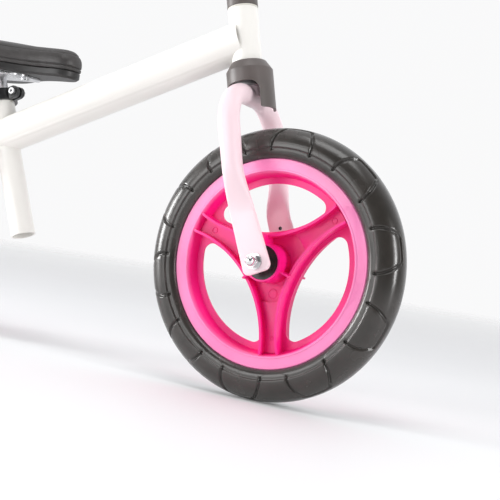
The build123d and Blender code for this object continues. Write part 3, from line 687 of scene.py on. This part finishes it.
def fork_leg(stations):
    """One leg as a skin of squashed-tube sections, closed at the blade's end."""
    bm = bmesh.new()
    rows = len(stations) - 1
    bmesh.ops.create_grid(bm, x_segments=LEG_SIDES, y_segments=rows, size=0.5)
    for vert in bm.verts:
        turn = 2 * pi * round((vert.co.x + 0.5) * LEG_SIDES) / LEG_SIDES
        place, along, width, thick = stations[round((vert.co.y + 0.5) * rows)]
        direction = Vector(along)
        ahead = (Vector((1, 0, 0)) - direction * direction.x).normalized()
        side = direction.cross(ahead)
        flat = (width - thick) / 2
        out = cos(turn)
        shift = 0 if abs(out) < 1e-6 else flat * (1 if out > 0 else -1)
        vert.co = Vector(place) + ahead * (out * thick / 2 + shift) + side * sin(turn) * thick / 2
    bmesh.ops.remove_doubles(bm, verts=bm.verts, dist=0.01)
    tip = [e for e in bm.edges if e.is_boundary and min(v.co.y for v in e.verts) > 1]
    bmesh.ops.contextual_create(bm, geom=tip)
    return bm


def cut_away(piece, cutter_mesh):
    """Takes a cutter's shape out of a piece for good."""
    cutter = bpy.data.objects.new("cutter", cutter_mesh)
    bpy.context.scene.collection.objects.link(cutter)
    cut = piece.modifiers.new("cut", "BOOLEAN")
    cut.object = cutter
    cut.solver = "EXACT"
    # The cut faces take the cutter's material, which paints the drain holes' walls and floor dark as shade
    cut.material_mode = "TRANSFER"
    bpy.context.view_layer.update()
    evaluated = piece.evaluated_get(bpy.context.evaluated_depsgraph_get())
    piece.data = bpy.data.meshes.new_from_object(evaluated)
    piece.modifiers.clear()
    bpy.data.objects.remove(cutter)
    bm = bmesh.new()
    bm.from_mesh(piece.data)
    without_thin_faces(bm, 2e-5)
    bm.to_mesh(piece.data)
    bm.free()


def drain_holes(place, crease, axle_ahead):
    """Small blind holes on the wheel side of both blades, whose walls and floor are painted dark as shade."""
    bm = bmesh.new()
    lean = axle_ahead / (crease + LEAN_ABOVE_CREASE)
    height = crease - DRAIN_BELOW_CREASE
    for side in (1, -1):
        middle = Vector((axle_ahead - lean * height, side * (BLADE_OFFSET - BLADE_THICKNESS / 2), height))
        spot = Matrix.Translation(middle) @ Matrix.Rotation(pi / 2, 4, "X")
        bmesh.ops.create_cone(
            bm,
            cap_ends=True,
            segments=20,
            radius1=DRAIN_RADIUS,
            radius2=DRAIN_RADIUS,
            depth=BLADE_THICKNESS,
            matrix=spot,
        )
    bmesh.ops.transform(bm, matrix=place @ TO_METRES, verts=bm.verts)
    mesh = bpy.data.meshes.new("drain_holes")
    bm.to_mesh(mesh)
    bm.free()
    # Painted shade: the dark collar steel colour on the holes' walls and floor makes them look deep
    mesh.materials.append(MATERIALS["collar_steel"])
    return mesh


def fork(name, body, slot, node, place, crown, crease, axle_ahead):
    bm = fork_leg(leg_stations(crown, crease, axle_ahead))
    geom = bm.verts[:] + bm.edges[:] + bm.faces[:]
    bmesh.ops.mirror(bm, geom=geom, matrix=Matrix.Identity(4), merge_dist=0.01, axis="Y")
    bmesh.ops.recalc_face_normals(bm, faces=bm.faces)
    piece = add_piece(name, bm, body, slot, place, 50)
    cut_away(piece, drain_holes(place, crease, axle_ahead))
    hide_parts(node)
    return piece


STEERING = steering_frame()
REAR_STAY = rear_stay_frame()
fork("front_fork", "fork", "fork_enamel", "fork_tube", STEERING, FRONT_CROWN, FRONT_CREASE, AXLE_AHEAD)
fork("rear_fork_tube", "frame", "frame_enamel", "rear_fork", REAR_STAY, REAR_CROWN, REAR_CREASE, 0.0)


# ---------------------------------------------------------------- moulding marks


def spoke_spot(axle, spoke, radius, side):
    """Place on a spoke's floor, facing out of the wheel: local Z points away from its middle."""
    out = Vector((cos(spoke), 0, sin(spoke)))
    thickness = SPOKE_FLOOR_HALF_THICKNESS if radius > HUB_FLOOR_RADIUS else HUB_FLOOR_HALF_THICKNESS
    spot = axle + (out * radius + Vector((0, side * thickness, 0))) * MM
    face = Matrix.Rotation(radians(90 if side < 0 else -90), 4, "X")
    return Matrix.Translation(spot) @ face


def ejector_marks(name, body, axle, first_spoke):
    """Raised rings that the mould's ejector pins leave on the spoke floors."""
    bm = bmesh.new()
    for step, marks in enumerate(EJECTOR_MARKS):
        spoke = first_spoke + step * 2 * pi / 3
        for radius, size in marks:
            for side in (1, -1):
                place = Matrix.Translation(-axle) @ spoke_spot(axle, spoke, radius, side)
                local = TO_MILLIMETRES @ place @ TO_METRES
                verts = [bm.verts.new((size - inwards, 0, rise)) for inwards, rise in MARK_SECTION]
                edges = [bm.edges.new(pair) for pair in zip(verts, verts[1:] + verts[:1])]
                spin_closed(bm, verts + edges, 28)
                for vert in [v for v in bm.verts if not v.tag]:
                    vert.co = local @ vert.co
                    vert.tag = True
    bmesh.ops.recalc_face_normals(bm, faces=bm.faces)
    return add_piece(name, bm, body, "rim_plastic", Matrix.Translation(axle), 45)


ejector_marks("front_ejector_marks", "front_wheel", FRONT_AXLE, FRONT_SPOKE)
ejector_marks("rear_ejector_marks", "rear_wheel", REAR_AXLE, REAR_SPOKE)


# ---------------------------------------------------------------- saddle and grips


def swollen(piece, pinned_below, cap):
    """Cloth skin blown up by a gentle pressure, held at its foot, with its travel limited."""
    rest = [vert.co.copy() for vert in piece.data.vertices]
    foot = piece.vertex_groups.new(name="foot")
    foot.add([vert.index for vert in piece.data.vertices if vert.co.z < pinned_below], 1.0, "REPLACE")
    cloth = piece.modifiers.new("stuffing", "CLOTH")
    cloth.settings.use_pressure = True
    cloth.settings.uniform_pressure_force = PAD_PRESSURE
    cloth.settings.vertex_group_mass = "foot"
    cloth.settings.effector_weights.gravity = 0
    cloth.point_cache.frame_start = 1
    cloth.point_cache.frame_end = PAD_FRAMES
    for step in range(1, PAD_FRAMES + 1):
        bpy.context.scene.frame_set(step)
    evaluated = piece.evaluated_get(bpy.context.evaluated_depsgraph_get())
    moved = [vert.co.copy() for vert in evaluated.data.vertices]
    piece.modifiers.clear()
    piece.vertex_groups.clear()
    for vert, start, end in zip(piece.data.vertices, rest, moved):
        travel = end - start
        if travel.length > cap:
            travel *= cap / travel.length
        vert.co = start + travel
    bpy.context.scene.frame_set(1)


def remeshed(piece, voxel):
    grid = piece.modifiers.new("grid", "REMESH")
    grid.mode = "VOXEL"
    grid.voxel_size = voxel
    bpy.context.view_layer.update()
    evaluated = piece.evaluated_get(bpy.context.evaluated_depsgraph_get())
    mesh = bpy.data.meshes.new_from_object(evaluated)
    piece.modifiers.clear()
    piece.data = mesh


def sewn(bm, low, seams, low_limit):
    """Presses seam lines into a pad, each at a height above its foot."""
    for height, depth, half_width in seams:
        level = low + height
        for offset in (-2.0, -1.0, -0.4, 0.0, 0.4, 1.0, 2.0):
            geom = bm.verts[:] + bm.edges[:] + bm.faces[:]
            place = (0, 0, level + offset * half_width)
            bmesh.ops.bisect_plane(bm, geom=geom, dist=1e-5, plane_co=place, plane_no=UP)
        bm.normal_update()
        for vert in bm.verts:
            near = abs(vert.co.z - level) / (half_width * 1.5)
            if near < 1 and vert.co.z > low_limit:
                outward = Vector((vert.normal.x, vert.normal.y, 0))
                vert.co -= outward * depth * (1 - near * near) ** 2


def saddle():
    """Vinyl cover over foam: stuffed, crowned, with a sewn border and a centre dip."""
    low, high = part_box("saddle_pad")
    middle = (low + high) / 2
    piece = link_mesh("saddle_cushion", merged_copy("saddle_pad"), 60)
    length, width, thickness = PAD_START_SIZE
    for vert in piece.data.vertices:
        vert.co.x = middle.x + (vert.co.x - middle.x) * length
        vert.co.y *= width
        vert.co.z = low.z + (vert.co.z - low.z) * thickness
    remeshed(piece, PAD_VOXEL)
    swollen(piece, low.z + PAD_FOOT, PAD_CAP)
    bm = bmesh.new()
    bm.from_mesh(piece.data)
    for _ in range(PAD_SMOOTHING):
        loose = [vert for vert in bm.verts if vert.co.z > low.z + PAD_FOOT]
        bmesh.ops.smooth_vert(
            bm, verts=loose, factor=0.5, use_axis_x=True, use_axis_y=True, use_axis_z=True
        )
    bmesh.ops.subdivide_edges(bm, edges=bm.edges[:], cuts=1, use_grid_fill=True, smooth=0.6)
    top = max(vert.co.z for vert in bm.verts)
    for vert in bm.verts:
        height = (vert.co.z - low.z) / (top - low.z)
        if height > 0.5:
            along = (vert.co.x - low.x) / (high.x - low.x)
            fade = max(0.0, 1 - ((along - DIP_MIDDLE) / DIP_HALF_LENGTH) ** 2)
            across = max(0.0, 1 - (vert.co.y / DIP_HALF_WIDTH) ** 2)
            vert.co.z -= SADDLE_DIP * fade * across ** 2
            vert.co.z += SADDLE_TAIL_LIFT * max(0.0, 1 - along / TAIL_SHARE) ** 2 * (height - 0.5) * 2
    sewn(bm, low.z, PAD_SEAMS, low.z + 0.001)
    for vert in bm.verts:
        vert.co.z = max(vert.co.z, low.z)
    bmesh.ops.recalc_face_normals(bm, faces=bm.faces)
    bm.to_mesh(piece.data)
    bm.free()
    piece.data.materials.clear()
    piece.data.materials.append(MATERIALS["saddle_cover"])
    piece.data.shade_smooth()
    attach(piece, "seat")
    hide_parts("saddle_pad")


def grip_profile():
    """Outline of a grip as (radius, distance from the bar's end) points, flange first."""
    points = [(0.0, -GRIP_LENGTH)]
    points += [(radius, -GRIP_LENGTH + along) for radius, along in FLANGE_SECTION]
    rib = -GRIP_LENGTH + FIRST_RIB
    while rib < LAST_RIB:
        points += [(radius, rib + along) for radius, along in RIB_SECTION]
        rib += RIB_PITCH
    for turn in range(-46, 37, 6):
        along = GRIP_BULB * sin(radians(turn)) - GRIP_BULB_INSET
        if along < BULB_FACE - 0.6:
            points.append((GRIP_BULB * cos(radians(turn)), along))
    return points + [(15.2, BULB_FACE - 0.2), (14.4, BULB_FACE), (0.0, BULB_FACE)]


def grip(node, side):
    """Ribbed rubber grip, turned about the bar's end."""
    bm = bmesh.new()
    verts = [bm.verts.new((radius, 0, along)) for radius, along in grip_profile()]
    edges = [bm.edges.new(pair) for pair in zip(verts, verts[1:])]
    spin_closed(bm, verts + edges, 48)
    bmesh.ops.remove_doubles(bm, verts=bm.verts, dist=0.005)
    bmesh.ops.recalc_face_normals(bm, faces=bm.faces)
    sided = Vector((1, side, 1))
    inner, outer = Vector(BAR_BEND) * sided, Vector(BAR_END) * sided
    turn = (outer - inner).to_track_quat("Z", "X").to_matrix().to_4x4()
    place = STEERING @ Matrix.Translation(outer * MM) @ turn
    piece = add_piece(node + "_ribbed", bm, body_of_node(node), "grip_rubber", place, 30)
    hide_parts(node)


saddle()
grip("left_grip", 1)
grip("right_grip", -1)


# ---------------------------------------------------------------- CAD pieces with eased edges

EASED = {
    "front_rim": 0.55,
    "rear_rim": 0.55,
    "main_tube": 0.3,
    "head_tube": 0.4,
    "lower_seat_tube": 0.4,
    "upper_seat_tube": 0.4,
    "steering_stop_sleeve": 0.7,
    "lock_ring": 0.3,
    "crown_race": 0.2,
    "steerer_tube": 0.2,
    "front_axle_nuts": 0.45,
    "rear_axle_nuts": 0.45,
    "front_axle_washers": 0.25,
    "rear_axle_washers": 0.25,
    "front_hub_bearings": 0.3,
    "rear_hub_bearings": 0.3,
    "seat_clamp_collar": 0.6,
    "handlebar_clamp_collar": 0.6,
    "seat_clamp_bolt": 0.3,
    "handlebar_clamp_bolt": 0.3,
    "seat_clamp_nut": 0.3,
    "handlebar_clamp_nut": 0.3,
    "saddle_plate": 0.5,
    "saddle_base": 0.8,
    "handlebar": 0.3,
}

for node, width in EASED.items():
    rounded_copy(node, width)

for node, piece in frame["nodes"].items():
    if not piece.hide_render:
        piece.data.materials.clear()
        piece.data.materials.append(MATERIALS[slot_of_node(node)])


# ---------------------------------------------------------------- floor, light and camera


def studio_floor():
    """Pale floor that fades into the backdrop far from the bike."""
    bm = bmesh.new()
    bmesh.ops.create_grid(bm, x_segments=1, y_segments=1, size=9.0)
    floor = link_mesh("studio_floor", bm, 30)
    material = bpy.data.materials.new("studio_floor")
    material.use_nodes = True
    nodes, links = material.node_tree.nodes, material.node_tree.links
    shader = nodes["Principled BSDF"]
    shader.inputs["Base Color"].default_value = (0.80, 0.80, 0.81, 1)
    shader.inputs["Roughness"].default_value = 0.6
    shader.inputs["Emission Color"].default_value = (1, 1, 1, 1)
    shader.inputs["Emission Strength"].default_value = 0.05
    place = nodes.new("ShaderNodeTexCoord")
    distance = nodes.new("ShaderNodeVectorMath")
    distance.operation = "LENGTH"
    fade = nodes.new("ShaderNodeMapRange")
    fade.inputs["From Min"].default_value = 1.0
    fade.inputs["From Max"].default_value = 6.0
    clear = nodes.new("ShaderNodeBsdfTransparent")
    mix = nodes.new("ShaderNodeMixShader")
    links.new(place.outputs["Object"], distance.inputs[0])
    links.new(distance.outputs["Value"], fade.inputs["Value"])
    links.new(fade.outputs["Result"], mix.inputs["Fac"])
    links.new(shader.outputs["BSDF"], mix.inputs[1])
    links.new(clear.outputs["BSDF"], mix.inputs[2])
    links.new(mix.outputs["Shader"], nodes["Material Output"].inputs["Surface"])
    floor.data.materials.append(material)


def studio_world():
    world = bpy.data.worlds.new("studio")
    world.use_nodes = True
    nodes, links = world.node_tree.nodes, world.node_tree.links
    fill = nodes["Background"]
    fill.inputs["Color"].default_value = (0.97, 0.98, 1.0, 1)
    sky = nodes.new("ShaderNodeTexCoord")
    towards = nodes.new("ShaderNodeVectorMath")
    towards.operation = "DOT_PRODUCT"
    towards.inputs[1].default_value = (-sin(CAMERA_AZIMUTH), cos(CAMERA_AZIMUTH), 0.35)
    level = nodes.new("ShaderNodeMapRange")
    level.inputs["From Min"].default_value = -0.3
    level.inputs["From Max"].default_value = 0.7
    level.inputs["To Min"].default_value = ROOM_LIGHT
    level.inputs["To Max"].default_value = BACKDROP_LIGHT
    links.new(sky.outputs["Generated"], towards.inputs[0])
    links.new(towards.outputs["Value"], level.inputs["Value"])
    links.new(level.outputs["Result"], fill.inputs["Strength"])
    backdrop = nodes.new("ShaderNodeBackground")
    backdrop.inputs["Color"].default_value = (0.95, 0.95, 0.955, 1)
    seen = nodes.new("ShaderNodeLightPath")
    mix = nodes.new("ShaderNodeMixShader")
    links.new(seen.outputs["Is Camera Ray"], mix.inputs["Fac"])
    links.new(fill.outputs["Background"], mix.inputs[1])
    links.new(backdrop.outputs["Background"], mix.inputs[2])
    links.new(mix.outputs["Shader"], nodes["World Output"].inputs["Surface"])
    bpy.context.scene.world = world


def softbox(name, place, target, width, height, power):
    light = bpy.data.lights.new(name, "AREA")
    light.shape = "RECTANGLE"
    light.size, light.size_y = width, height
    light.energy = power
    lamp = bpy.data.objects.new(name, light)
    lamp.location = place
    lamp.rotation_euler = (Vector(target) - Vector(place)).to_track_quat("-Z", "Y").to_euler()
    bpy.context.scene.collection.objects.link(lamp)


def studio_camera():
    azimuth, elevation, roll = CAMERA_AZIMUTH, CAMERA_ELEVATION, CAMERA_ROLL
    level = Vector((cos(azimuth), sin(azimuth), 0))
    forward = Vector((-sin(azimuth) * cos(elevation), cos(azimuth) * cos(elevation), -sin(elevation)))
    upright = level.cross(forward)
    right = level * cos(roll) + upright * sin(roll)
    up = upright * cos(roll) - level * sin(roll)
    camera = bpy.data.cameras.new("camera")
    camera.lens = LENS
    camera.sensor_width = SENSOR
    rig = bpy.data.objects.new("camera", camera)
    turn = Matrix((right, up, -forward)).transposed().to_4x4()
    rig.matrix_world = Matrix.Translation(CAMERA_PLACE) @ turn
    bpy.context.scene.collection.objects.link(rig)
    bpy.context.scene.camera = rig


studio_floor()
studio_world()
softbox("front_left_softbox", (-0.72, -1.78, 0.58), (0.2, 0, 0.15), 0.95, 0.85, 12)
softbox("top_softbox", (0.3, -0.6, 1.7), (0.2, 0, 0.1), 0.9, 0.7, 8)
softbox("left_softbox", (-2.2, -1.0, 0.46), (0.3, 0, 0.15), 0.7, 0.75, 46)
softbox("right_softbox", (2.75, -0.55, 0.75), (0.3, 0, 0.15), 0.42, 1.3, 36)
studio_camera()
bpy.context.scene.view_settings.view_transform = "Standard"
